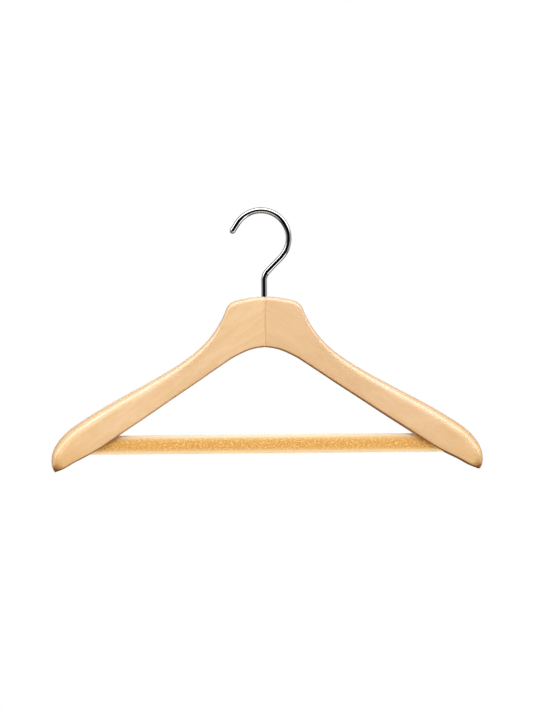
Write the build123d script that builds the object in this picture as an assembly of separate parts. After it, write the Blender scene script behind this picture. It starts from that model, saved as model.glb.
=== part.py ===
"""Wooden suit hanger with a flocked trouser bar and a swivelling wire hook.

Frame, in millimetres: the origin is where the hook's inside rests on a rail, on the
shank's axis. +Z is up, +X is the viewer's right and -Y is the front, towards which the
shoulders curve. The hook lies in the XZ plane.
"""
import os
from math import atan2, cos, degrees, radians, sin, sqrt, tan

from build123d import *

# Hook: one bent wire, with its end peened to a head inside the neck
wire_radius = 3.0
loop_radius = 28.0              # wire's centreline
loop_offset = 2.9               # loop's centre, left of the shank's axis
tip_angle = 147                 # loop ends here, from +X, degrees
tip_straight = 9.1              # straight end of the wire, without its round tip
leave_angle = -44.5             # loop runs into the straight diagonal here, degrees
shank_bend_radius = 14.0
shank_shown = 16.2              # upright wire between its bend and the neck
head_radius = 4.6
head_height = 2.2

# Swivel in the neck
bush_wall = 1.2
bush_length = 18.0              # flange included
bush_recess = 0.6               # bush's top below the wood
flange_radius = 6.0
flange_height = 1.5
washer_radius = 6.0
washer_height = 1.2
end_play = 0.3                  # between the washer and the bush
cavity_side_room = 0.8
cavity_floor_room = 1.0
running_clearance = 0.05        # wire in the bush, all round

# Wooden body, the neck
neck_half_width = 36.0          # seam to the neck's upper corner
neck_height = 50.9              # at the seam
neck_corner_drop = 8.0
neck_thickness = 20.0
neck_round = 4.2                # rounding of the upper edges at the seam

# Wooden body, the arms
half_span = 215.6
shoulder_drop = 173.6           # neck's top to the nose
shoulder_thickness = 38.0
shoulder_round = 12.0           # rounding of the upper edges at the shoulder end
low_edge_round = 2.6
forward_sweep = 32.0            # shoulder ends ahead of the neck
sweep_power = 1.8               # how late the arm curves forward
thick_from_share = 0.16         # of half_span, where the arm starts to thicken
thick_to_share = 0.86           # and where it is at full thickness
nose_inset = 3.2                # underside's end, short of half_span
nose_length = 14.0              # underside's last stretch, round in plan
nose_power = 2.6                # 2 is an ellipse, more is squarer
round_limit_share = 0.44        # most of a section's side that a rounding may take

# Trouser bar
bar_radius = 9.5                # over the flock
flock_thickness = 0.5
bar_drop = 147.8                # neck's top to the bar's axis
socket_depth = 20.9             # on the bar's axis, from the arm's underside to the bar's end
socket_clearance = 0.1
socket_end_room = 0.5

# Dowels across the seam
dowel_radius = 3.0
dowel_half_length = 15.0
dowel_drops = {"upper_neck_dowel": 29.8, "lower_neck_dowel": 42.5}
dowel_clearance = 0.05
dowel_end_room = 1.0

# Countersunk screws, from the back of each arm into the bar
screw_radius = 1.5
screw_length = 17.0
screw_head_radius = 3.0
screw_head_height = 1.8
screw_point = 2.5
screw_from_bar_end = 8.0
screw_recess = 0.9              # head's face below the wood, at its middle
screw_tip_radius = 0.1
screw_clearance = 0.05
cross_length = 3.2
cross_width = 0.7
cross_depth = 1.1
cut_overrun = 5.0

# Where the arm's sections stand. Each row is the upper edge's place, out and down, and
# the underside's place, out and down. In the neck rows the first two are shares of
# neck_half_width and neck_corner_drop, in the arm rows of what is left from there to
# the end and the nose. The last two are always shares of half_span and of the drop
# from the arch to the nose.
neck_row_shares = [
    (0.000, 0.000, 0.000, 0.000),
    (0.170, 0.010, 0.022, 0.003),
    (0.400, 0.110, 0.049, 0.011),
    (0.640, 0.310, 0.082, 0.028),
    (0.860, 0.570, 0.118, 0.056),
    (1.000, 1.000, 0.148, 0.083),
]
arm_row_shares = [
    (0.023, 0.050, 0.177, 0.115),
    (0.056, 0.120, 0.212, 0.156),
    (0.116, 0.211, 0.267, 0.221),
    (0.215, 0.309, 0.341, 0.309),
    (0.354, 0.407, 0.430, 0.412),
    (0.536, 0.516, 0.554, 0.558),
    (0.708, 0.618, 0.692, 0.717),
    (0.832, 0.700, 0.794, 0.834),
    (0.910, 0.761, 0.858, 0.894),
    (0.954, 0.811, 0.902, 0.933),
    (0.984, 0.862, 0.931, 0.963),
    (0.998, 0.913, 0.950, 0.980),
    (0.999, 0.953, 0.962, 0.989),
    (0.994, 0.979, 0.971, 0.995),
    (0.988, 0.992, 0.977, 0.998),
]

# Worked out from the sizes above
loop_drop = sqrt((loop_radius - wire_radius) ** 2 - loop_offset**2)
bush_radius = wire_radius + running_clearance + bush_wall
cavity_radius = max(washer_radius, flange_radius, head_radius) + cavity_side_room
core_radius = bar_radius - flock_thickness
socket_radius = bar_radius + socket_clearance


def on_loop(angle):
    """Point of the wire's centreline on the loop, in X and Z."""
    turn = radians(angle)
    return Vector(-loop_offset + loop_radius * cos(turn), -loop_drop + loop_radius * sin(turn))


def loop_tangent(angle):
    """Direction of the loop at an angle, clockwise."""
    return Vector(sin(radians(angle)), -cos(radians(angle)))


# The diagonal meets the shank's axis at this height, and the bend rounds that corner
diagonal_start = on_loop(leave_angle)
diagonal_way = loop_tangent(leave_angle)
shank_corner = diagonal_start.Y - diagonal_way.Y / diagonal_way.X * diagonal_start.X
bend_angle = 90 + degrees(atan2(diagonal_way.Y, -diagonal_way.X))
bend_tangent = shank_bend_radius * tan(radians(bend_angle) / 2)
bend_start = Vector(-diagonal_way.X * bend_tangent, shank_corner - diagonal_way.Y * bend_tangent)
neck_top = shank_corner - bend_tangent - shank_shown
bush_top = neck_top - bush_recess
bush_foot = bush_top - bush_length
washer_top = bush_foot - end_play
head_top = washer_top - washer_height
head_foot = head_top - head_height
bar_level = neck_top - bar_drop


def sweep_at(out):
    """Y of the arm's middle, at a distance out from the seam."""
    return -forward_sweep * (abs(out) / half_span) ** sweep_power


def thickness_at(out):
    """Arm's thickness: the neck's, then an eased growth to the shoulder's."""
    start = thick_from_share * half_span
    share = (abs(out) - start) / (thick_to_share * half_span - start)
    share = min(max(share, 0), 1)
    return neck_thickness + (shoulder_thickness - neck_thickness) * share**2 * (3 - 2 * share)


def nose_factor(out):
    """Rounds the arm's end in plan: a superellipse's quarter over the last nose_length."""
    share = min(max((half_span - nose_inset - out) / nose_length, 0), 1)
    return (1 - (1 - share) ** nose_power) ** (1 / nose_power)


def arm_rows():
    """Upper and lower point of each section, in X and Z."""
    for out, down, under_out, under_down in neck_row_shares:
        crest = Vector(out * neck_half_width, 0, neck_top - down * neck_corner_drop)
        yield crest, under_point(under_out, under_down)
    reach = half_span - neck_half_width
    fall = shoulder_drop - neck_corner_drop
    for out, down, under_out, under_down in arm_row_shares:
        crest_out = neck_half_width + out * reach
        crest = Vector(crest_out, 0, neck_top - neck_corner_drop - down * fall)
        yield crest, under_point(under_out, under_down)


def under_point(out_share, down_share):
    """Point of the underside."""
    fall = shoulder_drop - neck_height
    return Vector(out_share * half_span, 0, neck_top - neck_height - down_share * fall)


def underside_out_at(drop):
    """Distance out from the seam where the underside is a drop below the neck's top."""
    feet = [foot for crest, foot in arm_rows()]
    level = neck_top - drop
    for inner, outer in zip(feet, feet[1:]):
        if outer.Z <= level:
            return inner.X + (outer.X - inner.X) * (inner.Z - level) / (inner.Z - outer.Z)
    return feet[-1].X


def arm_section(crest, foot):
    """Rounded section from the underside at foot to the upper edge at crest."""
    middle = (crest.X + foot.X) / 2
    shift = Vector(0, sweep_at(middle), 0)
    height = (crest - foot).length
    thickness = thickness_at(middle) * nose_factor(foot.X)
    grown = abs(middle) / half_span
    upper_round = neck_round + (shoulder_round - neck_round) * grown
    limit = round_limit_share * min(thickness, height)
    upper_round = min(upper_round, limit)
    lower_round = min(low_edge_round, limit)
    half = thickness / 2
    outline = FilletPolyline(
        (-half, 0),
        (half, 0),
        (half, height),
        (-half, height),
        radius=[lower_round, lower_round, upper_round, upper_round],
        close=True,
    )
    side = Vector(0, 1, 0)
    plane = Plane(origin=foot + shift, x_dir=side, z_dir=side.cross(crest - foot))
    return plane * make_face(outline)


def flip(point):
    """The same point on the other side of the seam."""
    return Vector(-point.X, point.Y, point.Z)


def arm_blank():
    """Right arm before its holes: lofted on through the neck, so that the seam is smooth, and
    sawn off at the seam."""
    rows = list(arm_rows())
    inner = rows[len(neck_row_shares) - 2 : 0 : -1]
    mirrored = [(flip(crest), flip(foot)) for crest, foot in inner]
    both = loft([arm_section(crest, foot) for crest, foot in mirrored + rows])
    return split(both, bisect_by=Plane.YZ, keep=Keep.TOP)


def rod(radius, start, end):
    """Round rod between two points."""
    way = Vector(*end) - Vector(*start)
    return extrude(Plane(origin=start, z_dir=way) * Circle(radius), way.length)


def standing_rod(radius, low, high):
    """Rod on the shank's axis between two heights."""
    return rod(radius, (0, 0, low), (0, 0, high))


def dowel(drop, radius, half_length):
    """Rod across the seam, a drop below the neck's top."""
    level = neck_top - drop
    return rod(radius, (-half_length, 0, level), (half_length, 0, level))


# Where the bar and its screws lie
mouth_out = underside_out_at(bar_drop)
bar_half_length = mouth_out + socket_depth
bar_y = sweep_at(mouth_out)
screw_out = bar_half_length - screw_from_bar_end
screw_back = sweep_at(screw_out) + thickness_at(screw_out) / 2
screw_face = screw_back - screw_recess


def screw_hole(side, grow):
    """Space of a screw on one side, grown all round, open to the back."""
    centre = side * screw_out
    tip = (centre, screw_face - screw_length - grow, bar_level)
    face = (centre, screw_face, bar_level)
    back = (centre, screw_back + cut_overrun, bar_level)
    cone = Plane(origin=face, z_dir=(0, -1, 0)) * Pos(0, 0, screw_head_height / 2) * Cone(
        screw_head_radius + grow, screw_radius + grow, screw_head_height
    )
    return rod(screw_radius + grow, tip, face) + cone + rod(screw_head_radius + grow, face, back)


def bar_screw(side):
    """Countersunk screw with a cross recess and a conical point."""
    centre = side * screw_out
    face = Plane(origin=(centre, screw_face, bar_level), z_dir=(0, -1, 0))
    shank_end = screw_length - screw_point
    head = Pos(0, 0, screw_head_height / 2) * Cone(
        screw_head_radius, screw_radius, screw_head_height
    )
    shank = Pos(0, 0, shank_end / 2) * Cylinder(screw_radius, shank_end)
    point = Pos(0, 0, shank_end + screw_point / 2) * Cone(
        screw_radius, screw_tip_radius, screw_point
    )
    slot = Pos(0, 0, cross_depth / 2) * Box(cross_length, cross_width, cross_depth)
    return face * (head + shank + point - slot - Rot(0, 0, 90) * slot)


def hook():
    """Bent wire with a round tip and a peened head."""
    start = on_loop(tip_angle) - loop_tangent(tip_angle) * tip_straight
    path = Plane.XZ * (
        Line(start, on_loop(tip_angle))
        + CenterArc((-loop_offset, -loop_drop), loop_radius, tip_angle, leave_angle - tip_angle)
        + Line(diagonal_start, bend_start)
        + JernArc(bend_start, diagonal_way, shank_bend_radius, bend_angle)
        + Line((0, shank_corner - bend_tangent), (0, head_top))
    )
    way = loop_tangent(tip_angle)
    section = Plane(origin=(start.X, 0, start.Y), z_dir=(way.X, 0, way.Y)) * Circle(wire_radius)
    wire = sweep(section, path=path)
    tip = Pos(start.X, 0, start.Y) * Sphere(wire_radius)
    return wire + tip + standing_rod(head_radius, head_foot, head_top)


def swivel_bush():
    """Flanged sleeve that the wire turns in."""
    sleeve = standing_rod(bush_radius, bush_foot, bush_top)
    flange = standing_rod(flange_radius, bush_foot, bush_foot + flange_height)
    bore = standing_rod(wire_radius + running_clearance, bush_foot, bush_top)
    return sleeve + flange - bore


def hook_washer():
    """Washer between the head and the bush's flange."""
    disc = standing_rod(washer_radius, head_top, washer_top)
    return disc - standing_rod(wire_radius + running_clearance, head_top, washer_top)


def neck_space():
    """What is hollow in the neck: the bush's bore, the cavity and the dowel holes."""
    bore = standing_rod(bush_radius, bush_foot, neck_top + cut_overrun)
    cavity = standing_rod(
        cavity_radius, head_foot - cavity_floor_room, bush_foot + flange_height
    )
    space = bore + cavity
    for drop in dowel_drops.values():
        space += dowel(drop, dowel_radius + dowel_clearance, dowel_half_length + dowel_end_room)
    return space


def bar_space():
    """The bar's two blind sockets, as one rod."""
    end = bar_half_length + socket_end_room
    return rod(socket_radius, (-end, bar_y, bar_level), (end, bar_y, bar_level))


def bar_rod(radius):
    """Rod of the bar's full length."""
    start = (-bar_half_length, bar_y, bar_level)
    return rod(radius, start, (bar_half_length, bar_y, bar_level))


def build():
    """Every piece of the hanger by name."""
    blank = arm_blank()
    hollows = neck_space() + bar_space()
    holes = screw_hole(-1, screw_clearance) + screw_hole(1, screw_clearance)
    pieces = {
        "right_arm": blank - hollows - holes,
        "left_arm": mirror(blank, Plane.YZ) - hollows - holes,
        "hook": hook(),
        "swivel_bush": swivel_bush(),
        "hook_washer": hook_washer(),
        "bar_core": bar_rod(core_radius) - holes,
        "bar_flock": bar_rod(bar_radius) - bar_rod(core_radius) - holes,
        "left_bar_screw": bar_screw(-1),
        "right_bar_screw": bar_screw(1),
    }
    for name, drop in dowel_drops.items():
        pieces[name] = dowel(drop, dowel_radius, dowel_half_length)
    return pieces


os.makedirs("parts", exist_ok=True)
for node, shape in build().items():
    export_step(shape, f"parts/{node}.step")
    box = shape.bounding_box()
    print(node, len(shape.solids()), round(shape.volume), box.min, box.max)
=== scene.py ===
"""Looks of a wooden suit hanger with a flocked trouser bar and a polished wire hook.

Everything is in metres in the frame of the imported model: the origin is where the hook
rests on a rail, +Z is up, +X is the viewer's right and the front faces -Y.
"""
from math import atan2, cos, pi, radians, sin, sqrt, tan

import bpy
import numpy as np
from mathutils import Matrix, Vector


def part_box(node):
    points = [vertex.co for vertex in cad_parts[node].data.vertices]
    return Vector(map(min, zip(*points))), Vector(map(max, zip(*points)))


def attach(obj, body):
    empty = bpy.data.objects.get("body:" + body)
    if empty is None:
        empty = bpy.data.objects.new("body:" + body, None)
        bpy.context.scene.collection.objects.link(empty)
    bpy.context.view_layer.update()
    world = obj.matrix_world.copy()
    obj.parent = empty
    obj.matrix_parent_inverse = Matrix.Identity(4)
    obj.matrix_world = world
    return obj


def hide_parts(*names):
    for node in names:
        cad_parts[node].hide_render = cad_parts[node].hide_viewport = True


MM = 0.001

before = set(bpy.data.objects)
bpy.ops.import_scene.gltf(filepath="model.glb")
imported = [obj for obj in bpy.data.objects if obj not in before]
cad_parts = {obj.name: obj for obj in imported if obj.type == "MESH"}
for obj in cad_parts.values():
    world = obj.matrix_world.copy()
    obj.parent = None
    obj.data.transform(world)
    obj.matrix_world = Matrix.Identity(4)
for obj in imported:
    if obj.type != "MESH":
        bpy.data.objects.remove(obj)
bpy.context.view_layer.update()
scene = bpy.context.scene

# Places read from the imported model
neck_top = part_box("right_arm")[1].z
bar_low, bar_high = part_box("bar_flock")
core_low, core_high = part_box("bar_core")
bush_low, bush_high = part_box("swivel_bush")
washer_low, washer_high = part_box("hook_washer")
hook_low, hook_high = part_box("hook")
screw_low, screw_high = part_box("right_bar_screw")

bar_middle = (bar_low + bar_high) / 2
bar_radius = (bar_high.z - bar_low.z) / 2
core_radius = (core_high.z - core_low.z) / 2
bar_half_length = bar_high.x
hook_head_radius = hook_high.y

# Hook wire, as its maker bends it
wire_radius = 3.0 * MM
loop_radius = 28.0 * MM
loop_offset = 2.9 * MM
tip_angle = radians(147)
tip_straight = 9.1 * MM
leave_angle = radians(-44.5)
shank_bend_radius = 14.0 * MM
head_crown = 0.5 * MM
pole_radius = 0.01 * MM

# Wooden body; the lower edges ease in a little above their rounding
neck_half_width = 36.0 * MM
neck_height = 50.9 * MM
neck_corner_drop = 8.0 * MM
neck_thickness = 20.0 * MM
neck_round = 4.2 * MM
half_span = 215.6 * MM
shoulder_drop = 173.6 * MM
shoulder_thickness = 38.0 * MM
shoulder_round = 12.0 * MM
low_edge_round = 1.7 * MM
low_ease_share = 0.035
low_ease_reach = 3.5 * MM
forward_sweep = 32.0 * MM
sweep_power = 1.8
thick_from_share = 0.16
thick_to_share = 0.86
nose_inset = 3.2 * MM
nose_length = 14.0 * MM
nose_power = 2.6
round_limit_share = 0.44
least_round = 0.02 * MM
nose_cap_share = 0.34
seam_chamfer = 0.5 * MM
seam_chamfer_width = 1.5 * MM

# Hollows in the wood
bush_bore = 4.25 * MM
cavity_side_room = 0.8 * MM
cavity_floor_room = 1.0 * MM
flange_height = 1.5 * MM
dowel_clearance = 0.05 * MM
dowel_end_room = 1.0 * MM
socket_clearance = 0.1 * MM
socket_end_room = 0.5 * MM
screw_clearance = 0.05 * MM
screw_head_radius = 3.0 * MM
screw_head_height = 1.8 * MM
screw_radius = 1.5 * MM
cut_overrun = 6.0 * MM

# Stations from the seam to the nose: the upper edge's place out and down, then the underside's
neck_row_shares = [
    (0.000, 0.000, 0.000, 0.000),
    (0.170, 0.010, 0.022, 0.003),
    (0.400, 0.110, 0.049, 0.011),
    (0.640, 0.310, 0.082, 0.028),
    (0.860, 0.570, 0.118, 0.056),
    (1.000, 1.000, 0.148, 0.083),
]
arm_row_shares = [
    (0.023, 0.050, 0.177, 0.115),
    (0.056, 0.120, 0.212, 0.156),
    (0.116, 0.211, 0.267, 0.221),
    (0.215, 0.309, 0.341, 0.309),
    (0.354, 0.407, 0.430, 0.412),
    (0.536, 0.516, 0.554, 0.558),
    (0.708, 0.618, 0.692, 0.717),
    (0.832, 0.700, 0.794, 0.834),
    (0.910, 0.761, 0.858, 0.894),
    (0.954, 0.811, 0.902, 0.933),
    (0.984, 0.862, 0.931, 0.963),
    (0.998, 0.913, 0.950, 0.980),
    (0.999, 0.953, 0.962, 0.989),
    (0.994, 0.979, 0.971, 0.995),
    (0.988, 0.992, 0.977, 0.998),
]

# Fineness of the meshes
arm_stations = 420
arm_end_density = 0.82
upper_arc_steps = 18
lower_arc_steps = 4
face_steps = 18
face_crowding = 1.8
edge_steps = 6
nose_cap_rings = 6
loop_steps = 96
bend_steps = 24
tip_steps = 8
diagonal_steps = 12
tip_rings = 12
wire_sides = 40
cutter_sides = 72
pile_rings = 520
pile_sides = 84
smooth_limit = radians(35)

# Flock's pile and nap
flock_valley = 0.32 * MM
flock_least_share = 0.35
flock_clump = 1.6 * MM
nap_fibres = 46000
nap_root = 0.055 * MM
nap_shortest = 0.35 * MM
nap_longest = 0.75 * MM
nap_lean = 0.45
nap_lay = (0.25, 0.15)
nap_half_length = 178 * MM
pile_seed = 11
nap_seed = 12

# Patterns of the wood in waves per metre along and across the grain, and their noise's ranges
figure_waves = (20, 70, 70)
cloud_waves = (40, 80, 80)
line_waves = (32, 520, 520)
band_waves = (18, 190, 190)
fleck_waves = (260, 1900, 1900)
cloud_shift = (3, 1, 2)
band_shift = (1, 5, 3)
figure_range = (0.36, 0.64)
streak_range = (0.38, 0.62)
figure_share = 0.65
line_share = 0.5
streak_relief = 0.35
fleck_threshold = 0.74
fleck_softness = 0.06
fleck_density = 0.5
fleck_density_share = 0.1

# Detail, roughness and distortion of that noise
figure_noise = (3.0, 0.55, 0.6)
line_noise = (3.0, 0.6, 0.3)
band_noise = (2.0, 0.5, 0.5)
fleck_detail = 1.0

# Where each wood is cut from the pattern
left_board_shift = (0.31, 0.0, 0.11)
right_board_shift = (0.87, 0.0, 0.45)
bare_wood_shift = (0.1, 0.2, 0.3)

# Tones of the boards: pale and deep at the neck, then pale and deep at the arm's end
left_board_tones = ((228, 190, 141), (221, 181, 126), (221, 177, 111), (215, 166, 99))
right_board_tones = ((221, 182, 133), (214, 173, 121), (216, 174, 112), (207, 161, 94))
bare_wood_tones = ((232, 198, 155), (222, 184, 138), (232, 198, 155), (222, 184, 138))
# Painted shade: the amber tone that darkens wood where it faces down
painted_underside_shade = (178, 103, 24)
streak_tone = (212, 163, 104)
fleck_tone = (181, 122, 69)
streak_strength = 0.33
fleck_strength = 0.4
# Where the painted shade on downward faces begins and ends, and its strength
painted_shade_levels = (-0.02, -0.55)
painted_shade_strength = 0.92
end_drift = (150 * MM, 215 * MM)
grain_slope = radians(33)
lacquer_relief = 0.02 * MM
lacquer_relief_strength = 0.02
lacquer_roughness = (0.40, 0.47)
lacquer_specular = 0.35
coat_roughness = 0.26
coat_ior = 1.5

# Flock's patterns in waves per metre along and round the bar, and its tones
stroke_waves = (620, 1500, 1)
stroke_slant = radians(32)
stroke_noise = (2.0, 0.6)
stroke_range = (0.36, 0.62)
patch_waves = (330, 560, 1)
patch_slant = radians(20)
patch_range = (0.45, 0.75)
patch_strength = 0.6
tuft_waves = 1500.0
tuft_detail = 1.0
tuft_range = (0.5, 0.8)
tuft_strength = 0.35
# Painted sheen on the flock: where its pale rim begins and ends
painted_sheen_levels = (-0.03, 0.58)
flock_tones = ((180, 117, 26), (220, 171, 92), (247, 212, 153))
# Tone of the painted sheen
painted_sheen_tone = (255, 234, 196)
flock_sheen_tone = (255, 236, 205)
flock_relief = 0.15 * MM
flock_relief_strength = 0.5
flock_roughness = 0.95
flock_specular = 0.15
flock_sheen = 0.75
flock_sheen_roughness = 0.4

# Metals
haze_waves = 160.0
haze_detail = 3.0
haze_range = (0.3, 0.75)
dull_range = (0.4, 0.7)
chrome_roughness = (0.035, 0.075)
chrome_bright = (0.90, 0.905, 0.915, 1)
chrome_dull = (0.86, 0.87, 0.885, 1)
blotch_noise = (4.0, 0.6)
blotch_range = (0.35, 0.65)
turning_waves = (40, 40, 4000)
turning_range = (0.3, 0.7)
turning_shares = (0.8, 1.25)
metal_relief = 0.02 * MM
metal_relief_strength = 0.2
brass_tones = ((214, 186, 118), (196, 164, 92))
brass_roughness = 0.3
brass_waves = 600.0
zinc_tones = ((206, 208, 210), (184, 187, 192))
zinc_roughness = 0.32
zinc_waves = 700.0

# Studio: how bright its parts look in metal and lacquer
ceiling_glow = 1.0
softbox_glow = 1.5
panel_glow = 1.7
left_wall_glow = 0.24
right_wall_glow = 0.4
near_ground_glow = 0.8
far_ground_glow = 0.09
far_wall_glow = 0.4
far_ceiling_glow = 0.08
screen_glow = 0.02
camera_gap_glow = 0.004

# Borders of those parts: sides and levels from -1 to 1, angles away from the camera's side
ceiling_levels = (0.15, 0.5)
wall_sides = (-0.4, 0.2)
ground_levels = (-0.2, -0.45)
ground_away = (radians(54), radians(64))
panel_sides = (0.1, 0.3)
panel_levels = (-0.82, -0.5)
panel_away = (radians(86), radians(74))
far_levels = (0.2, 0.5)
far_away = (radians(92), radians(104))
softbox_away = (radians(52), radians(92))
softbox_soft = radians(6)
screen_sides = (-0.05, -0.25)
screen_levels = (0.36, 0.92)
screen_away = (radians(95), radians(170))
screen_soft = radians(5)
level_soft = 0.06
least_across = 0.01
gap_azimuths = (radians(-60), radians(48))
gap_elevations = (radians(-33), radians(41))
gap_soft = radians(3)
low_fill = (0.054, 0.025, 0.007, 1)
high_fill = (0.25, 0.25, 0.25, 1)
fill_levels = (-0.25, 0.3)

# Lamps aim at the middle of the object; tints are shares of red, green and blue
lit_centre = Vector((0, -20 * MM, -170 * MM))
arch_lamp_count = 5
arch_reach = 1.25
arch_side_share = 0.25
white = (1.0, 1.0, 1.0)
cool_line = (0.68, 0.76, 1.0)
cool_crest = (0.85, 0.9, 1.0)
front_bounce = (1.0, 0.91, 0.72)
back_bounce = (1.0, 0.93, 0.76)

# Floor, far below the hanging object
floor_radius = 1.6
floor_level = -2.6
floor_corners = 96
floor_colour = (0.14, 0.1, 0.06, 1)
floor_near_glow = (0.8, 0.8, 0.8, 1)
floor_far_glow = (0.09, 0.085, 0.08, 1)
floor_fade = (-1.6, -1.2)

# Camera: in front and a little to the left, with the photograph's small tilt
camera_distance = 5.0
picture_height = 0.711
sensor = 36.0
camera_aim = Vector((0.0, -35 * MM, -143 * MM))
camera_swing = radians(3.0)
camera_roll = radians(-0.45)
camera_reach = 50.0


def srgb(red, green, blue):
    """A colour written as it shows on a screen, 0 to 255, in the renderer's own scale."""
    share = np.array([red, green, blue]) / 255
    linear = np.where(share <= 0.04045, share / 12.92, ((share + 0.055) / 1.055) ** 2.4)
    return (*(float(part) for part in linear), 1.0)


# Meshes


def make_piece(name, points, faces, uv=None):
    """Mesh object from an array of points and a list of face arrays, each of one corner count.

    If the faces enclose a negative volume, summed over the fans of their corners, they all
    point inwards and are turned round.
    """
    volume = 0.0
    for group in faces:
        first = points[group[:, 0]]
        for step in range(1, group.shape[1] - 1):
            cross = np.cross(points[group[:, step]], points[group[:, step + 1]])
            volume += float(np.einsum("ij,ij->", first, cross))
    if volume < 0:
        faces = [group[:, ::-1] for group in faces]
        uv = None if uv is None else [part[:, ::-1] for part in uv]
    corners = np.concatenate([group.ravel() for group in faces]).astype(np.int32)
    counts = np.concatenate([np.full(len(group), group.shape[1]) for group in faces])
    starts = np.cumsum(counts) - counts
    mesh = bpy.data.meshes.new(name)
    mesh.vertices.add(len(points))
    mesh.vertices.foreach_set("co", points.astype(np.float32).ravel())
    mesh.loops.add(len(corners))
    mesh.loops.foreach_set("vertex_index", corners)
    mesh.polygons.add(len(counts))
    mesh.polygons.foreach_set("loop_start", starts.astype(np.int32))
    mesh.update(calc_edges=True)
    mesh.shade_smooth()
    if uv is not None:
        layer = mesh.uv_layers.new(name="surface")
        flat = np.concatenate([part.reshape(-1, 2) for part in uv])
        layer.uv.foreach_set("vector", flat.astype(np.float32).ravel())
    piece = bpy.data.objects.new(name, mesh)
    scene.collection.objects.link(piece)
    return piece


def ring_quads(rings, sides, closed=False):
    """Quads between rings of points that each run round and close; closed joins the last
    ring to the first."""
    ring = np.arange(rings if closed else rings - 1)[:, None]
    side = np.arange(sides)[None, :]
    after = (ring + 1) % rings
    beside = (side + 1) % sides
    corners = (
        ring * sides + side,
        ring * sides + beside,
        after * sides + beside,
        after * sides + side,
    )
    return np.stack(np.broadcast_arrays(*corners), -1).reshape(-1, 4)


def turned(name, profile, centre, axis, sides=cutter_sides):
    """Closed surface of revolution: each profile point is a place along the axis from the
    centre and a radius, carried round the axis; flat discs close the two ends."""
    axis = np.array(axis, float)
    across = np.cross(axis, (0.0, 1.0, 0.0) if abs(axis[1]) < 0.5 else (1.0, 0.0, 0.0))
    across /= np.linalg.norm(across)
    third = np.cross(axis, across)
    turn = np.linspace(0, 2 * pi, sides, endpoint=False)[None, :, None]
    along = np.array([place for place, radius in profile])[:, None, None]
    radius = np.array([radius for place, radius in profile])[:, None, None]
    points = np.array(centre) + along * axis + radius * (np.cos(turn) * across + np.sin(turn) * third)
    rings = len(profile)
    ends = np.array([np.arange(sides)[::-1], (rings - 1) * sides + np.arange(sides)])
    return make_piece(name, points.reshape(-1, 3), [ring_quads(rings, sides), ends])


def cut(piece, cutters):
    """Takes the cutters' spaces out of the piece, then deletes the cutters."""
    group = bpy.data.collections.new("cutters")
    for cutter in cutters:
        group.objects.link(cutter)
    modifier = piece.modifiers.new("hollows", "BOOLEAN")
    modifier.operand_type = "COLLECTION"
    modifier.collection = group
    modifier.solver = "EXACT"
    bpy.context.view_layer.update()
    graph = bpy.context.evaluated_depsgraph_get()
    mesh = bpy.data.meshes.new_from_object(piece.evaluated_get(graph))
    mesh.name = piece.name
    piece.modifiers.clear()
    piece.data = mesh
    for cutter in cutters:
        bpy.data.objects.remove(cutter)
    bpy.data.collections.remove(group)


# Wooden arms


def spline(knots, values, places):
    """Natural cubic spline through the values at the knots. The bends at the knots solve the
    usual three-term system, and each stretch is its chord plus a cubic of those bends."""
    gap = np.diff(knots)
    slope = np.diff(values, axis=0) / gap[:, None]
    count = len(knots)
    inner = np.arange(1, count - 1)
    system = np.eye(count)
    system[inner, inner - 1] = gap[:-1]
    system[inner, inner] = 2 * (gap[:-1] + gap[1:])
    system[inner, inner + 1] = gap[1:]
    change = np.zeros_like(values)
    change[1:-1] = 6 * np.diff(slope, axis=0)
    bend = np.linalg.solve(system, change)
    stretch = np.clip(np.searchsorted(knots, places, side="right") - 1, 0, count - 2)
    length = gap[stretch][:, None]
    late = (places[:, None] - knots[stretch][:, None]) / length
    early = 1 - late
    line = early * values[stretch] + late * values[stretch + 1]
    cubic = (early**3 - early) * bend[stretch] + (late**3 - late) * bend[stretch + 1]
    return line + cubic * length**2 / 6


def arm_edges():
    """The arm's upper edge and underside in X and Z, at stations from the seam to the nose:
    a spline through the rows and their mirror images beyond the seam, so that the neck is
    smooth across it. A row holds shares, of the neck's or the arm's reach for the upper edge
    and of the whole for the underside. The stations crowd towards both ends."""
    neck = np.array(neck_row_shares)
    arm = np.array(arm_row_shares)
    under_fall = shoulder_drop - neck_height
    crest_neck = neck[:, :2] * (neck_half_width, -neck_corner_drop)
    crest_arm = arm[:, :2] * (half_span - neck_half_width, neck_corner_drop - shoulder_drop)
    crest_arm += (neck_half_width, -neck_corner_drop)
    under = np.concatenate([neck, arm])[:, 2:] * (half_span, -under_fall)
    under += (0, -neck_height)
    rows = np.concatenate([np.concatenate([crest_neck, crest_arm]), under], axis=1)
    rows[:, [1, 3]] += neck_top
    beyond = rows[1 : len(neck)][::-1] * (-1, 1, -1, 1)
    rows = np.concatenate([beyond, rows])
    step = np.diff(rows, axis=0)
    chord = (np.hypot(step[:, 0], step[:, 1]) + np.hypot(step[:, 2], step[:, 3])) / 2
    knots = np.concatenate([[0], np.cumsum(chord)])
    seam = knots[len(beyond)]
    share = np.linspace(0, 1, arm_stations)
    share -= arm_end_density * np.sin(2 * pi * share) / (2 * pi)
    placed = spline(knots, rows, seam + share * (knots[-1] - seam))
    return placed[:, :2], placed[:, 2:]


def sweep_at(out):
    """Y of the arm's middle: it curves forward with a power of the distance out."""
    return -forward_sweep * (np.abs(out) / half_span) ** sweep_power


def thickness_at(out):
    """The neck's thickness, then an eased growth to the shoulder's."""
    start = thick_from_share * half_span
    share = np.clip((out - start) / (thick_to_share * half_span - start), 0, 1)
    return neck_thickness + (shoulder_thickness - neck_thickness) * share**2 * (3 - 2 * share)


def nose_factor(out):
    """Rounds the arm's end in plan, as a superellipse's quarter over the last stretch."""
    share = np.clip((half_span - nose_inset - out) / nose_length, 0, 1)
    return (1 - (1 - share) ** nose_power) ** (1 / nose_power)


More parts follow.
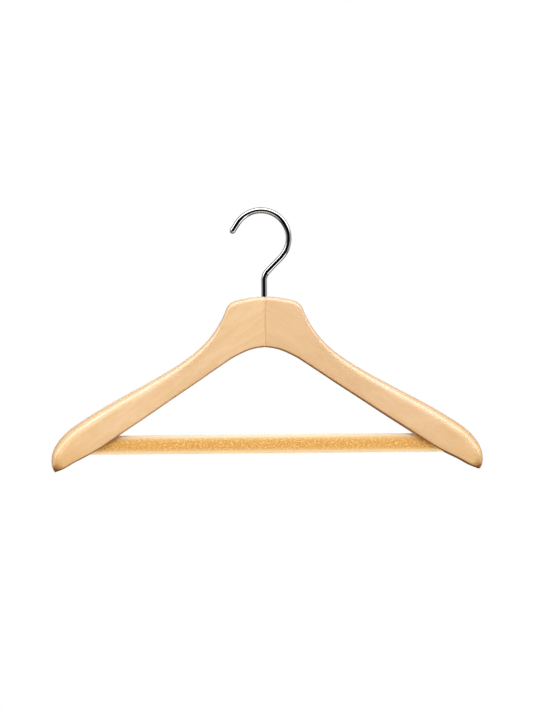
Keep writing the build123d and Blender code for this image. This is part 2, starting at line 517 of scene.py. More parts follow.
def section_outline():
    """One turn round the arm's section, from the foot of its back: for each point the corner
    that it leaves and the one that it nears, as side, level and angle, and how far it is
    between them. On a corner's arc both are that corner."""
    corners = [
        (1, 0, -0.5 * pi, 0.0, lower_arc_steps, face_steps),
        (1, 1, 0.0, 0.5 * pi, upper_arc_steps, edge_steps),
        (-1, 1, 0.5 * pi, pi, upper_arc_steps, face_steps),
        (-1, 0, pi, 1.5 * pi, lower_arc_steps, edge_steps),
    ]
    rows = []
    for index, (side, level, start, end, arc_steps, straight_steps) in enumerate(corners):
        for angle in np.linspace(start, end, arc_steps + 1):
            rows.append((side, level, angle, side, level, angle, 0.0))
        after = corners[(index + 1) % len(corners)]
        for share in np.arange(1, straight_steps) / straight_steps:
            if level < after[1]:
                share = share**face_crowding
            elif level > after[1]:
                share = 1 - (1 - share) ** face_crowding
            rows.append((side, level, end, after[0], after[1], after[2], share))
    return np.array(rows).T


def arm_surface():
    """Points of the right arm: at each station a rounded rectangle from the underside to the
    upper edge, thickness along Y. A corner's arc has its own radius, and the points of a
    straight side lie between two arcs, on the faces closer together towards the underside,
    where the thickness eases in by an exponential. Near the seam the section shrinks by a
    chamfer. After the last station the section is drawn in along a quarter circle."""
    crest, foot = arm_edges()
    up = crest - foot
    height = np.hypot(up[:, 0], up[:, 1])
    up = up / height[:, None]
    middle = (crest[:, 0] + foot[:, 0]) / 2
    half = thickness_at(middle) * nose_factor(foot[:, 0]) / 2
    limit = round_limit_share * np.minimum(2 * half, height)
    upper = neck_round + (shoulder_round - neck_round) * np.abs(middle) / half_span
    radius = np.stack([np.minimum(low_edge_round, limit), np.minimum(upper, limit)], 1)
    chamfer = seam_chamfer * np.clip(1 - crest[:, 0] / seam_chamfer_width, 0, 1)
    turn = np.linspace(0, 0.5 * pi, nose_cap_rings + 1)[1:]
    cap_reach = nose_cap_share * height[-1]
    cap_inset = cap_reach * (1 - np.cos(turn))
    cap_push = cap_reach * np.sin(turn)
    away = np.array([up[-1, 1], -up[-1, 0]])
    inset = np.concatenate([chamfer, cap_inset])
    rings = len(inset)
    last = np.minimum(np.arange(rings), arm_stations - 1)
    push = np.concatenate([np.zeros(arm_stations), cap_push])
    foot = foot[last] + push[:, None] * away
    up, height, half, radius = up[last], height[last], half[last], radius[last]
    shift = sweep_at(middle)[last]
    radius = np.maximum(radius - inset[:, None], least_round)
    side_a, level_a, angle_a, side_b, level_b, angle_b, share = section_outline()

    def corner_point(side, level, angle):
        own = radius[:, level.astype(int)]
        reach = half[:, None] - inset[:, None] - own
        low = inset[:, None] + own
        high = height[:, None] - inset[:, None] - own
        across = side * reach + own * np.cos(angle)
        return across, np.where(level > 0, high, low) + own * np.sin(angle)

    across_a, rise_a = corner_point(side_a, level_a, angle_a)
    across_b, rise_b = corner_point(side_b, level_b, angle_b)
    across = across_a + share * (across_b - across_a)
    rise = rise_a + share * (rise_b - rise_a)
    across *= 1 - low_ease_share * np.exp(-rise / low_ease_reach)
    x = foot[:, :1] + rise * up[:, :1]
    z = foot[:, 1:] + rise * up[:, 1:]
    return np.stack([x, shift[:, None] + across, z], axis=2)


def neck_hollows():
    """Cutters for the bush's bore, the cavity of the washer and head, and the dowels."""
    cavity_radius = max(washer_high.x, bush_high.x, hook_head_radius) + cavity_side_room
    bore = [(bush_low.z, bush_bore), (neck_top + cut_overrun, bush_bore)]
    cavity_top = bush_low.z + flange_height
    cavity = [(hook_low.z - cavity_floor_room, cavity_radius), (cavity_top, cavity_radius)]
    yield turned("bore", bore, (0, 0, 0), (0, 0, 1))
    yield turned("cavity", cavity, (0, 0, 0), (0, 0, 1))
    for name in ("upper_neck_dowel", "lower_neck_dowel"):
        low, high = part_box(name)
        reach = high.x + dowel_end_room
        radius = (high.z - low.z) / 2 + dowel_clearance
        level = (low.z + high.z) / 2
        yield turned(name + "_hole", [(-reach, radius), (reach, radius)], (0, 0, level), (1, 0, 0))


def arm_hollows(side):
    """Cutters for one arm: the bar's blind socket and the screw's stepped hole."""
    centre = (0, bar_middle.y, bar_middle.z)
    reach = side * (bar_half_length + socket_end_room)
    radius = bar_radius + socket_clearance
    yield turned("socket", [(0, radius), (reach, radius)], centre, (1, 0, 0))
    face, tip = screw_high.y, screw_low.y
    thread = screw_radius + screw_clearance
    head = screw_head_radius + screw_clearance
    profile = [
        (tip - screw_clearance, thread),
        (face - screw_head_height, thread),
        (face, head),
        (face + cut_overrun, head),
    ]
    out = side * (screw_low.x + screw_high.x) / 2
    yield turned("screw_hole", profile, (out, 0, bar_middle.z), (0, 1, 0))


def wooden_arm(name, side):
    """One glued board, shaped and bored. The left one is the right one's mirror image."""
    points = arm_surface()
    rings, sides = points.shape[:2]
    points = points.reshape(-1, 3) * (side, 1, 1)
    ends = np.array([np.arange(sides)[::-1], (rings - 1) * sides + np.arange(sides)])
    arm = make_piece(name + "_wood", points, [ring_quads(rings, sides), ends])
    cut(arm, [*neck_hollows(), *arm_hollows(side)])
    arm.data.set_sharp_from_angle(angle=smooth_limit)
    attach(arm, "hanger")
    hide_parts(name)
    return arm


# Hook


def hook_path():
    """The wire's centreline in X and Z with its direction, as stations: the straight end, the
    loop's arc, the diagonal that leaves it, the small bend and the upright shank."""
    centre = np.array([-loop_offset, -sqrt((loop_radius - wire_radius) ** 2 - loop_offset**2)])

    def on_loop(angle):
        return centre + loop_radius * np.array([cos(angle), sin(angle)])

    def along_loop(angle):
        return np.array([sin(angle), -cos(angle)])

    first = on_loop(tip_angle) - tip_straight * along_loop(tip_angle)
    leave = on_loop(leave_angle)
    way = along_loop(leave_angle)
    corner = leave[1] - way[1] / way[0] * leave[0]
    bend_angle = pi / 2 + atan2(way[1], -way[0])
    tangent = shank_bend_radius * tan(bend_angle / 2)
    bend_start = np.array([-way[0] * tangent, corner - way[1] * tangent])
    bend_centre = bend_start + shank_bend_radius * np.array([-way[1], way[0]])
    start_angle = atan2(*(bend_start - bend_centre)[::-1])
    loop = np.linspace(tip_angle, leave_angle, loop_steps + 1)
    bend = np.linspace(start_angle, start_angle + bend_angle, bend_steps + 1)
    tip_share = np.linspace(0, 1, tip_steps, endpoint=False)[:, None]
    diagonal_share = np.linspace(0, 1, diagonal_steps + 1)[1:-1, None]
    loop_points = centre + loop_radius * np.stack([np.cos(loop), np.sin(loop)], 1)
    bend_points = bend_centre + shank_bend_radius * np.stack([np.cos(bend), np.sin(bend)], 1)
    tip_points = first + tip_share * (on_loop(tip_angle) - first)
    diagonal_points = leave + diagonal_share * (bend_start - leave)
    points = [tip_points, loop_points, diagonal_points, bend_points]
    ways = [
        np.tile(along_loop(tip_angle), (len(tip_points), 1)),
        np.stack([np.sin(loop), -np.cos(loop)], 1),
        np.tile(way, (len(diagonal_points), 1)),
        np.stack([-np.sin(bend), np.cos(bend)], 1),
    ]
    return np.concatenate(points), np.concatenate(ways)


def wire_hook():
    """Round wire carried along the hook's line. Its tip is a half ball, and its foot inside
    the neck is peened to a head with a slightly domed end."""
    points, ways = hook_path()
    turn = np.linspace(0, 0.5 * pi, tip_rings + 1)[1:][::-1]
    tip = points[0] - wire_radius * np.sin(turn)[:, None] * ways[0]
    tip_radius = wire_radius * np.cos(turn)
    head_top, head_foot = washer_low.z, hook_low.z
    foot = [
        ((points[-1, 1] + head_top) / 2, wire_radius),
        (head_top, wire_radius),
        (head_top, hook_head_radius - head_crown),
        (head_top - head_crown, hook_head_radius),
        (head_foot + 2 * head_crown, hook_head_radius),
        (head_foot + head_crown, hook_head_radius - head_crown),
        (head_foot, hook_head_radius / 2),
        (head_foot, pole_radius),
    ]
    foot_points = np.array([(0, level) for level, radius in foot])
    foot_ways = np.tile((0.0, -1.0), (len(foot), 1))
    centres = np.concatenate([tip, points, foot_points])
    ways = np.concatenate([np.tile(ways[0], (len(tip), 1)), ways, foot_ways])
    radii = np.concatenate(
        [tip_radius, np.full(len(points), wire_radius), [radius for level, radius in foot]]
    )
    radii[0] = pole_radius
    around = np.linspace(0, 2 * pi, wire_sides, endpoint=False)
    flat = radii[:, None] * np.cos(around)
    x = centres[:, :1] - ways[:, 1:] * flat
    z = centres[:, 1:] + ways[:, :1] * flat
    y = radii[:, None] * np.sin(around) * np.ones_like(x)
    rings = len(centres)
    surface = np.stack([x, y, z], axis=2).reshape(-1, 3)
    sides = np.arange(wire_sides)
    ends = np.array([sides[::-1], (rings - 1) * wire_sides + sides])
    hook = make_piece("hook_wire", surface, [ring_quads(rings, wire_sides), ends])
    hook.data.set_sharp_from_angle(angle=smooth_limit)
    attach(hook, "hook")
    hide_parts("hook")
    return hook


# Flocked bar


def clumps(shape, spacing, size, draws):
    """Seeded noise that closes on itself both ways: white noise kept to the waves longer
    than the clump's size, by a bell curve over its frequencies, then scaled to 0 to 1."""
    white = draws.standard_normal(shape)
    waves = [np.fft.fftfreq(count, gap) for count, gap in zip(shape, spacing)]
    keep = np.exp(-((waves[0][:, None] * size) ** 2) - (waves[1][None, :] * size) ** 2)
    smooth = np.real(np.fft.ifft2(np.fft.fft2(white) * keep))
    return (smooth - smooth.min()) / (smooth.max() - smooth.min())


def flock_sleeve():
    """Sleeve of flock on the bar: its outside is a cylinder sunk between clumps by seeded
    noise, nowhere by less than a share of the deepest valley. Its inside is the core's plain
    cylinder, and flat rings join them at the ends."""
    rows, sides = pile_rings, pile_sides
    draws = np.random.default_rng(pile_seed)
    spacing = (2 * bar_half_length / rows, 2 * pi * bar_radius / sides)
    sunk = clumps((rows, sides), spacing, flock_clump, draws)
    x = np.linspace(-bar_half_length, bar_half_length, rows)
    radius = bar_radius - flock_valley * (flock_least_share + (1 - flock_least_share) * sunk)
    x = np.concatenate([x, [bar_half_length, -bar_half_length]])
    radius = np.concatenate([radius, np.full((2, sides), core_radius)])
    angle = np.linspace(0, 2 * pi, sides, endpoint=False)
    y = bar_middle.y + radius * np.cos(angle)
    z = bar_middle.z + radius * np.sin(angle)
    points = np.stack([np.broadcast_to(x[:, None], y.shape), y, z], axis=2).reshape(-1, 3)
    quads = ring_quads(rows + 2, sides, closed=True)
    side = np.arange(sides)
    along = np.arange(rows + 2)
    u = x[[along, along, (along + 1) % (rows + 2), (along + 1) % (rows + 2)]].T
    v = np.stack([side, side + 1, side + 1, side], 1) * spacing[1]
    uv = np.stack(np.broadcast_arrays(u[:, None, :], v[None, :, :]), -1)
    sleeve = make_piece("bar_flock_pile", points, [quads], [uv.reshape(-1, 4, 2)])
    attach(sleeve, "hanger")
    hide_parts("bar_flock")
    return sleeve


def flock_nap():
    """Short loose fibres on the pile: each is a closed needle of four triangles, its foot a
    small triangle on the sleeve and its tip a fibre's length out, leaning at random with a
    common lay along the bar. All places are seeded."""
    draws = np.random.default_rng(nap_seed)
    x = draws.uniform(-nap_half_length, nap_half_length, nap_fibres)
    angle = draws.uniform(0, 2 * pi, nap_fibres)
    length = draws.uniform(nap_shortest, nap_longest, nap_fibres)
    lean = draws.normal(0, nap_lean, (nap_fibres, 2)) + nap_lay
    outward = np.stack([np.zeros(nap_fibres), np.cos(angle), np.sin(angle)], 1)
    around = np.stack([np.zeros(nap_fibres), -np.sin(angle), np.cos(angle)], 1)
    along = np.tile((1.0, 0.0, 0.0), (nap_fibres, 1))
    axis = np.stack([x, np.full(nap_fibres, bar_middle.y), np.full(nap_fibres, bar_middle.z)], 1)
    root = axis + (bar_radius - flock_valley) * outward
    way = outward + lean[:, :1] * along + lean[:, 1:] * around
    way /= np.linalg.norm(way, axis=1)[:, None]
    tip = root + length[:, None] * way
    spin = draws.uniform(0, 2 * pi, nap_fibres)
    foot = []
    for corner in range(3):
        turn = (spin + corner * 2 * pi / 3)[:, None]
        foot.append(root + nap_root * (np.cos(turn) * along + np.sin(turn) * around))
    points = np.stack([*foot, tip], axis=1).reshape(-1, 3)
    first = 4 * np.arange(nap_fibres)[:, None, None]
    needle = np.array([(0, 2, 1), (0, 1, 3), (1, 2, 3), (2, 0, 3)])
    faces = (first + needle).reshape(-1, 3)
    place = np.stack([x, angle * bar_radius], 1)
    uv = np.repeat(place, 12, axis=0).reshape(-1, 3, 2)
    nap = make_piece("bar_flock_nap", points, [faces], [uv])
    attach(nap, "hanger")
    return nap


# Shader nodes


def feed(tree, node, inputs):
    """Gives a node's inputs their values or links."""
    for name, value in inputs.items():
        if isinstance(value, bpy.types.NodeSocket):
            tree.links.new(value, node.inputs[name])
        else:
            node.inputs[name].default_value = value


def put(tree, kind, inputs=None, **settings):
    """A new shader node with its settings and inputs."""
    made = tree.nodes.new(kind)
    for name, value in settings.items():
        setattr(made, name, value)
    feed(tree, made, inputs or {})
    return made


def maths(tree, operation, first, second=0.0, clamp=False):
    """Result of one sum."""
    made = put(tree, "ShaderNodeMath", {0: first, 1: second}, operation=operation, use_clamp=clamp)
    return made.outputs[0]


def blended(tree, first, second, share):
    """Sum of a share of the first value and the rest of the second."""
    part = maths(tree, "MULTIPLY", first, share)
    rest = maths(tree, "MULTIPLY", second, 1 - share)
    return maths(tree, "ADD", part, rest)


def ease(tree, value, start, end, low=0.0, high=1.0):
    """Eased step of a value from start to end."""
    inputs = {"Value": value, "From Min": start, "From Max": end, "To Min": low, "To Max": high}
    made = put(tree, "ShaderNodeMapRange", inputs, interpolation_type="SMOOTHSTEP")
    return made.outputs["Result"]


def mix(tree, share, first, second, blend="MIX"):
    """Colour between two."""
    made = put(tree, "ShaderNodeMix", {0: share, 6: first, 7: second}, data_type="RGBA")
    made.blend_type = blend
    return made.outputs[2]


def noise(tree, place, detail=2.0, roughness=0.5, distortion=0.0, scale=1.0):
    """Noise's value at a place."""
    inputs = {
        "Vector": place,
        "Scale": scale,
        "Detail": detail,
        "Roughness": roughness,
        "Distortion": distortion,
    }
    return put(tree, "ShaderNodeTexNoise", inputs).outputs["Fac"]


def mapped(tree, place, scale=(1, 1, 1), turn=(0, 0, 0), shift=(0, 0, 0)):
    """Place stretched, turned and shifted."""
    inputs = {"Vector": place, "Scale": scale, "Rotation": turn, "Location": shift}
    return put(tree, "ShaderNodeMapping", inputs).outputs["Vector"]


def new_group(name, inputs, outputs):
    """Empty shader group with named inputs and outputs, each of a socket type."""
    group = bpy.data.node_groups.new(name, "ShaderNodeTree")
    for socket, kind in inputs.items():
        group.interface.new_socket(name=socket, in_out="INPUT", socket_type=kind)
    for socket, kind in outputs.items():
        group.interface.new_socket(name=socket, in_out="OUTPUT", socket_type=kind)
    entry = group.nodes.new("NodeGroupInput")
    result = group.nodes.new("NodeGroupOutput")
    return group, entry.outputs, result.inputs


def emptied(owner):
    """Shader tree of a new material or world, with nothing in it yet."""
    owner.use_nodes = True
    owner.node_tree.nodes.clear()
    return owner.node_tree


def new_material(name):
    """Empty material and its Principled shader, joined to the output."""
    material = bpy.data.materials.new(name)
    tree = emptied(material)
    shader = put(tree, "ShaderNodeBsdfPrincipled")
    put(tree, "ShaderNodeOutputMaterial", {"Surface": shader.outputs["BSDF"]})
    return material, tree, shader


def object_place(tree):
    """Place in the object's own coordinates, in metres."""
    return put(tree, "ShaderNodeTexCoord").outputs["Object"]


def split(tree, vector):
    """X, Y and Z of a place or direction."""
    return put(tree, "ShaderNodeSeparateXYZ", {"Vector": vector}).outputs


def outward(tree):
    """X, Y and Z of the way that the surface faces."""
    return split(tree, put(tree, "ShaderNodeTexCoord").outputs["Normal"])


def add_relief(tree, shader, height, strength, depth):
    """Bump of a pattern's height on the material's surface."""
    relief = put(tree, "ShaderNodeBump", {"Height": height, "Strength": strength, "Distance": depth})
    feed(tree, shader, {"Normal": relief.outputs["Normal"]})


def wood_grain_group():
    """Straight-grained pale wood, with the grain along X of the place it is given.

    Figure is the broad soft change of tone, Streaks the fine lines and bands of the grain,
    Flecks the short dark rays and pores, and Height the relief that they leave in the lacquer."""
    float_socket, vector_socket = "NodeSocketFloat", "NodeSocketVector"
    group, given, result = new_group(
        "WoodGrain",
        {"Place": vector_socket, "Fleck Density": float_socket},
        {name: float_socket for name in ("Figure", "Streaks", "Flecks", "Height")},
    )
    place = given["Place"]
    broad = noise(group, mapped(group, place, figure_waves), *figure_noise)
    cloud = noise(group, mapped(group, place, cloud_waves, shift=cloud_shift))
    figure = ease(group, blended(group, broad, cloud, figure_share), *figure_range)
    lines = noise(group, mapped(group, place, line_waves), *line_noise)
    bands = noise(group, mapped(group, place, band_waves, shift=band_shift), *band_noise)
    streaks = ease(group, blended(group, lines, bands, line_share), *streak_range)
    speck = noise(group, mapped(group, place, fleck_waves), fleck_detail)
    lowered = maths(group, "MULTIPLY", given["Fleck Density"], fleck_density_share)
    threshold = maths(group, "SUBTRACT", fleck_threshold, lowered)
    flecks = ease(group, maths(group, "SUBTRACT", speck, threshold), 0.0, fleck_softness)
    height = maths(group, "SUBTRACT", maths(group, "MULTIPLY", streaks, streak_relief), flecks)
    for name, value in (("Figure", figure), ("Streaks", streaks), ("Flecks", flecks), ("Height", height)):
        group.links.new(value, result[name])
    return group


def wood_material(name, grain, tones, turn, shift, coat):
    """Lacquered or bare wood. Its two tones drift towards the arm's end and a painted shade
    deepens them to amber where the surface faces down; the grain's lines and flecks darken
    them, and a very faint relief follows the grain."""
    pale, deep, end_pale, end_deep = (srgb(*tone) for tone in tones)
    material, tree, shader = new_material(name)
    place = object_place(tree)
    along = mapped(tree, place, turn=(0, turn, 0), shift=shift)
    inputs = {"Place": along, "Fleck Density": fleck_density}
    parts = put(tree, "ShaderNodeGroup", inputs, node_tree=grain).outputs
    out = maths(tree, "ABSOLUTE", split(tree, place)["X"])
    drift = ease(tree, out, *end_drift)
    near = mix(tree, parts["Figure"], pale, deep)
    far = mix(tree, parts["Figure"], end_pale, end_deep)
    tone = mix(tree, drift, near, far)
    # Painted shade: wood that faces down is deepened to amber, standing in for the shade along the lower
    # edges
    underside = ease(tree, outward(tree)["Z"], *painted_shade_levels, 0.0, painted_shade_strength)
    tone = mix(tree, underside, tone, srgb(*painted_underside_shade))
    streaks = maths(tree, "MULTIPLY", parts["Streaks"], streak_strength)
    flecks = maths(tree, "MULTIPLY", parts["Flecks"], fleck_strength)
    lined = mix(tree, streaks, tone, srgb(*streak_tone))
    finish = {
        "Base Color": mix(tree, flecks, lined, srgb(*fleck_tone)),
        "Roughness": ease(tree, parts["Figure"], 0.0, 1.0, *lacquer_roughness),
        "Specular IOR Level": lacquer_specular,
        "Coat Weight": coat,
        "Coat Roughness": coat_roughness,
        "Coat IOR": coat_ior,
    }
    feed(tree, shader, finish)
    add_relief(tree, shader, parts["Height"], lacquer_relief_strength, lacquer_relief)
    return material


def chrome_material():
    """Polished chrome plate with a faint unevenness in its gloss."""
    material, tree, shader = new_material("hook_chrome_plate")
    haze = noise(tree, object_place(tree), haze_detail, scale=haze_waves)
    finish = {
        "Base Color": mix(tree, ease(tree, haze, *dull_range), chrome_bright, chrome_dull),
        "Roughness": ease(tree, haze, *haze_range, *chrome_roughness),
        "Metallic": 1.0,
    }
    feed(tree, shader, finish)
    return material


def metal_material(name, bright, dull, roughness, scale):
    """Turned or plated small metal: two tones in small blotches, with turning marks."""
    material, tree, shader = new_material(name)
    place = object_place(tree)
    blotch = noise(tree, place, *blotch_noise, scale=scale)
    marks = noise(tree, mapped(tree, place, turning_waves))
    fine, coarse = (share * roughness for share in turning_shares)
    finish = {
        "Base Color": mix(tree, ease(tree, blotch, *blotch_range), srgb(*bright), srgb(*dull)),
        "Roughness": ease(tree, marks, *turning_range, fine, coarse),
        "Metallic": 1.0,
    }
    feed(tree, shader, finish)
    add_relief(tree, shader, marks, metal_relief_strength, metal_relief)
    return material


def flock_material():
    """Golden flock: clumps and short slanted strokes in three tones, and a painted sheen that
    turns it pale where the bar's surface turns up or down and the view grazes it too."""
    material, tree, shader = new_material("golden_flock")
    surface = put(tree, "ShaderNodeUVMap", uv_map="surface").outputs["UV"]
    slanted = mapped(tree, surface, stroke_waves, (0, 0, stroke_slant))
    strokes = noise(tree, slanted, *stroke_noise)
    patches = noise(tree, mapped(tree, surface, patch_waves, (0, 0, patch_slant)))
    tufts = noise(tree, surface, tuft_detail, scale=tuft_waves)
    deep, gold, pale = (srgb(*tone) for tone in flock_tones)
    tone = mix(tree, ease(tree, strokes, *stroke_range), deep, gold)
    tone = mix(tree, ease(tree, patches, *patch_range, 0.0, patch_strength), tone, pale)
    tone = mix(tree, ease(tree, tufts, *tuft_range, 0.0, tuft_strength), tone, pale)
    # Painted sheen: the base colour turns pale where the surface faces up or down and the view grazes it
    slope = maths(tree, "SUBTRACT", 1.0, maths(tree, "ABSOLUTE", outward(tree)["Y"]))
    grazing = put(tree, "ShaderNodeLayerWeight", {"Blend": 0.5}).outputs["Facing"]
    sheen_paint = maths(tree, "SQRT", maths(tree, "MULTIPLY", slope, grazing))
    finish = {
        "Base Color": mix(tree, ease(tree, sheen_paint, *painted_sheen_levels), tone, srgb(*painted_sheen_tone)),
        "Roughness": flock_roughness,
        "Specular IOR Level": flock_specular,
        "Sheen Weight": flock_sheen,
        "Sheen Roughness": flock_sheen_roughness,
        "Sheen Tint": srgb(*flock_sheen_tone),
    }
    feed(tree, shader, finish)
    add_relief(tree, shader, strokes, flock_relief_strength, flock_relief)
    return material


def finish_with(piece, material):
    """The material alone on a piece or node."""
    piece.data.materials.clear()
    piece.data.materials.append(material)


# Studio


def window(tree, value, low, high, soft):
    """One inside the range of a value, easing to nothing outside it."""
    rise = ease(tree, value, low - soft, low + soft)
    fall = ease(tree, value, high - soft, high + soft, 1.0, 0.0)
    return maths(tree, "MULTIPLY", rise, fall)


def studio_world():
    """White for the camera. Metal and lacquer reflect grey walls at eye level, a white ceiling
    with a softbox arched over the object, a ground that darkens away from the camera, a
    slanted panel low on the right, a black screen behind on the left, a grey far side and a
    dark gap round the camera. The diffuse light fades downwards.

    Away is the angle from the camera's side, and level runs from -1 below to 1 above."""
    world = bpy.data.worlds.new("studio")
    scene.world = world
    tree = emptied(world)
    axes = split(tree, put(tree, "ShaderNodeTexCoord").outputs["Generated"])
    front = maths(tree, "MULTIPLY", axes["Y"], -1.0)
    azimuth = maths(tree, "ARCTAN2", axes["X"], front)
    elevation = maths(tree, "ARCSINE", axes["Z"])
    away = maths(tree, "ARCCOSINE", front)
    across = maths(tree, "MAXIMUM", maths(tree, "SINE", away), least_across)
    level = maths(tree, "DIVIDE", axes["Z"], across)

    def shade(value):
        return (value, value, value, 1)

    def both(first, second):
        return maths(tree, "MULTIPLY", first, second)

    high = ease(tree, level, *ceiling_levels)
    walls = mix(tree, ease(tree, axes["X"], *wall_sides), shade(left_wall_glow), shade(right_wall_glow))
    shown = mix(tree, high, walls, shade(ceiling_glow))
    ground = mix(tree, ease(tree, away, *ground_away), shade(near_ground_glow), shade(far_ground_glow))
    shown = mix(tree, ease(tree, level, *ground_levels), shown, ground)
    slanted = both(ease(tree, axes["X"], *panel_sides), window(tree, level, *panel_levels, level_soft))
    panel = both(slanted, ease(tree, away, *panel_away))
    shown = mix(tree, panel, shown, shade(panel_glow))
    steep = maths(tree, "ABSOLUTE", level)
    far_side = mix(tree, ease(tree, steep, *far_levels), shade(far_wall_glow), shade(far_ceiling_glow))
    shown = mix(tree, ease(tree, away, *far_away), shown, far_side)
    softbox = both(high, window(tree, away, *softbox_away, softbox_soft))
    shown = mix(tree, softbox, shown, shade(softbox_glow), "ADD")
    behind = both(
        window(tree, away, *screen_away, screen_soft),
        window(tree, level, *screen_levels, level_soft),
    )
    screen = both(ease(tree, axes["X"], *screen_sides), behind)
    shown = mix(tree, screen, shown, shade(screen_glow))
    gap = both(
        window(tree, azimuth, *gap_azimuths, gap_soft),
        window(tree, elevation, *gap_elevations, gap_soft),
    )
    shown = mix(tree, gap, shown, shade(camera_gap_glow))
    diffuse = mix(tree, ease(tree, axes["Z"], *fill_levels), low_fill, high_fill)
    path = put(tree, "ShaderNodeLightPath").outputs
    mirrored = maths(tree, "MAXIMUM", path["Is Glossy Ray"], path["Is Transmission Ray"])
    seen = mix(tree, mirrored, diffuse, shown)
    seen = mix(tree, path["Is Camera Ray"], seen, (1, 1, 1, 1))
    glow = put(tree, "ShaderNodeBackground", {"Color": seen, "Strength": 1.0})
    put(tree, "ShaderNodeOutputWorld", {"Surface": glow.outputs["Background"]})


def aimed(place, target):
    """Rotation that points a lamp or camera from a place to a target."""
    return (target - place).to_track_quat("-Z", "Y").to_euler()


def arch_lamps(name, receivers, tilt, spread, radiance, width, tint):
    """Soft boxes side by side on an arch over the object, at an angle from the camera's side,
    that show only in the gloss of one collection, dimmer towards the sides. Their edges
    touch, so a rounded edge shows one unbroken line of light."""
    turns = np.linspace(-spread, spread, arch_lamp_count)
    length = 2 * arch_reach * sin(tilt) * tan((turns[1] - turns[0]) / 2)
    for index, turn in enumerate(turns):
        light = bpy.data.lights.new(f"{name}_{index}", "AREA")
        light.shape = "RECTANGLE"
        light.size = abs(length)
        light.size_y = width
        share = arch_side_share + (1 - arch_side_share) * sqrt(max(cos(turn), 0.0))
        light.energy = share * radiance * pi * light.size * light.size_y
        light.color = tint
        lamp = bpy.data.objects.new(light.name, light)
        way = Vector((sin(turn) * sin(tilt), -cos(tilt), cos(turn) * sin(tilt)))
        tangent = Vector((cos(turn), 0, -sin(turn)))
        across = way.cross(tangent)
        rotation = Matrix((tangent, across, way)).transposed()
        lamp.matrix_world = Matrix.Translation(lit_centre + arch_reach * way) @ rotation.to_4x4()
        lamp.visible_camera = False
        lamp.visible_diffuse = False
        lamp.light_linking.receiver_collection = receivers
        scene.collection.objects.link(lamp)


def fill_lamp(name, place, size, radiance, tint=white, receivers=None, mirrored=False):
    """Large square soft box on everything or on one collection, shown only in gloss or only
    filling in."""
    light = bpy.data.lights.new(name, "AREA")
    light.shape = "SQUARE"
    light.size = size
    light.energy = radiance * pi * size**2
    light.color = tint
    lamp = bpy.data.objects.new(name, light)
    lamp.location = place
    lamp.rotation_euler = aimed(Vector(place), lit_centre)
    lamp.visible_camera = False
    lamp.visible_glossy = mirrored
    lamp.visible_diffuse = not mirrored
    lamp.light_linking.receiver_collection = receivers
    scene.collection.objects.link(lamp)


def studio_floor():
    """Plain round floor, far below the hanging object. The camera sees it white, metal and
    lacquer see it darken away from the camera, and from underneath it is clear."""
    angle = np.linspace(0, 2 * pi, floor_corners, endpoint=False)
    level = np.full(floor_corners, floor_level)
    points = np.stack([floor_radius * np.cos(angle), floor_radius * np.sin(angle), level], 1)
    mesh = bpy.data.meshes.new("floor")
    mesh.from_pydata(points.tolist(), [], [list(range(floor_corners))])
    floor = bpy.data.objects.new("floor", mesh)
    scene.collection.objects.link(floor)
    material = bpy.data.materials.new("pale_floor")
    tree = emptied(material)
    path = put(tree, "ShaderNodeLightPath").outputs
    plain = put(tree, "ShaderNodeBsdfDiffuse", {"Color": floor_colour}).outputs[0]
    backdrop = put(tree, "ShaderNodeEmission", {"Color": (1, 1, 1, 1)}).outputs[0]
    depth = split(tree, object_place(tree))["Y"]
    tone = mix(tree, ease(tree, depth, *floor_fade), floor_near_glow, floor_far_glow)
    grey = put(tree, "ShaderNodeEmission", {"Color": tone}).outputs[0]
    clear = put(tree, "ShaderNodeBsdfTransparent").outputs[0]
    under = put(tree, "ShaderNodeNewGeometry").outputs["Backfacing"]
    mirrored = maths(tree, "MAXIMUM", path["Is Glossy Ray"], path["Is Transmission Ray"])
    lit = put(tree, "ShaderNodeMixShader", {0: mirrored, 1: plain, 2: grey}).outputs[0]
    seen = put(tree, "ShaderNodeMixShader", {0: path["Is Camera Ray"], 1: lit, 2: backdrop}).outputs[0]
    whole = put(tree, "ShaderNodeMixShader", {0: under, 1: seen, 2: clear}).outputs[0]
    put(tree, "ShaderNodeOutputMaterial", {"Surface": whole})
    floor.data.materials.append(material)


def photo_camera():
    """Camera at the photograph's angle, with a long lens."""
    data = bpy.data.cameras.new("camera")
    data.sensor_width = sensor
    data.lens = sensor * camera_distance / picture_height
    data.clip_end = camera_reach
    camera = bpy.data.objects.new("camera", data)
    scene.collection.objects.link(camera)
    way = Vector((sin(camera_swing), cos(camera_swing), 0))
    place = camera_aim - camera_distance * way
    upright = aimed(place, camera_aim).to_matrix().to_4x4()
    camera.matrix_world = Matrix.Translation(place) @ upright @ Matrix.Rotation(camera_roll, 4, "Z")
    scene.camera = camera


left_arm = wooden_arm("left_arm", -1)
right_arm = wooden_arm("right_arm", 1)
hook = wire_hook()
sleeve = flock_sleeve()
nap = flock_nap()

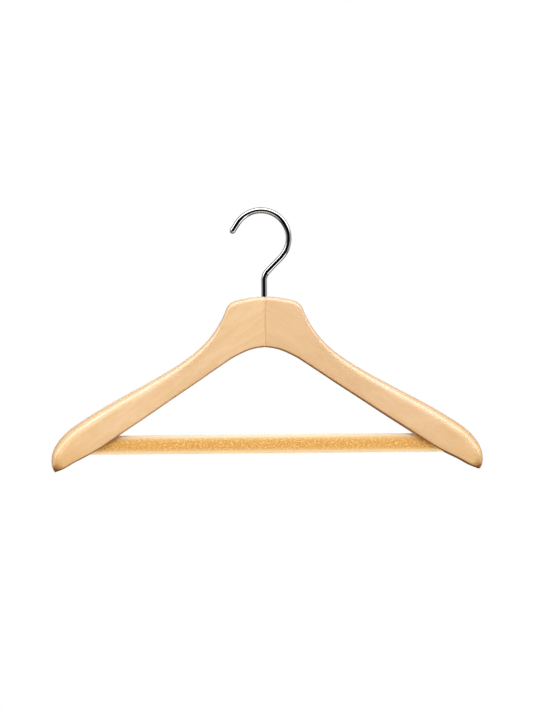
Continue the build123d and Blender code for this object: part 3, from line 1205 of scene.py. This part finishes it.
grain = wood_grain_group()
left_wood = wood_material("left_board_wood", grain, left_board_tones, grain_slope, left_board_shift, 1.0)
right_wood = wood_material(
    "right_board_wood", grain, right_board_tones, -grain_slope, right_board_shift, 1.0
)
plain_wood = wood_material("bare_turned_wood", grain, bare_wood_tones, 0.0, bare_wood_shift, 0.0)
finish_with(left_arm, left_wood)
finish_with(right_arm, right_wood)
for name in ("upper_neck_dowel", "lower_neck_dowel", "bar_core"):
    finish_with(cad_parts[name], plain_wood)
finish_with(hook, chrome_material())
flock = flock_material()
finish_with(sleeve, flock)
finish_with(nap, flock)
brass = metal_material("turned_brass", *brass_tones, brass_roughness, brass_waves)
finish_with(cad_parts["swivel_bush"], brass)
zinc = metal_material("bright_zinc", *zinc_tones, zinc_roughness, zinc_waves)
for name in ("left_bar_screw", "right_bar_screw", "hook_washer"):
    finish_with(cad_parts[name], zinc)

studio_world()
velvet = bpy.data.collections.new("velvet")
for piece in (sleeve, nap):
    velvet.objects.link(piece)
timber = bpy.data.collections.new("timber")
for piece in (left_arm, right_arm):
    timber.objects.link(piece)
arch_lamps("line", timber, radians(60), radians(96), radiance=9.6, width=0.4, tint=cool_line)
arch_lamps("crest", timber, radians(106), radians(100), radiance=1.3, width=1.3, tint=cool_crest)

# Each lamp's name, place, size and radiance, its tint, the collection it lights, and if it is for gloss
for lamp in (
    ("front_timber", (0.3, -2.9, 0.6), 3.6, 1.4, white, timber, True),
    ("key", (0.0, -2.9, 1.35), 2.0, 6.5),
    ("back_timber", (0.0, 3.0, 1.1), 2.5, 0.8, white, timber, True),
    ("left_timber", (-2.4, -0.9, 0.3), 2.0, 2.6),
    ("right_timber", (2.4, -0.9, 0.3), 2.0, 2.7),
    ("back_fill", (0.0, 3.2, 0.7), 2.2, 4.2),
    ("front_velvet", (0.0, -1.25, -2.2), 1.2, 7.4, front_bounce, velvet),
    ("top_velvet", (0.0, 0.7, 2.5), 1.6, 3.6, white, velvet),
    ("back_velvet", (0.0, 1.25, -2.2), 1.2, 7.6, back_bounce, velvet),
):
    fill_lamp(*lamp)
studio_floor()
photo_camera()
scene.view_settings.view_transform = "Standard"
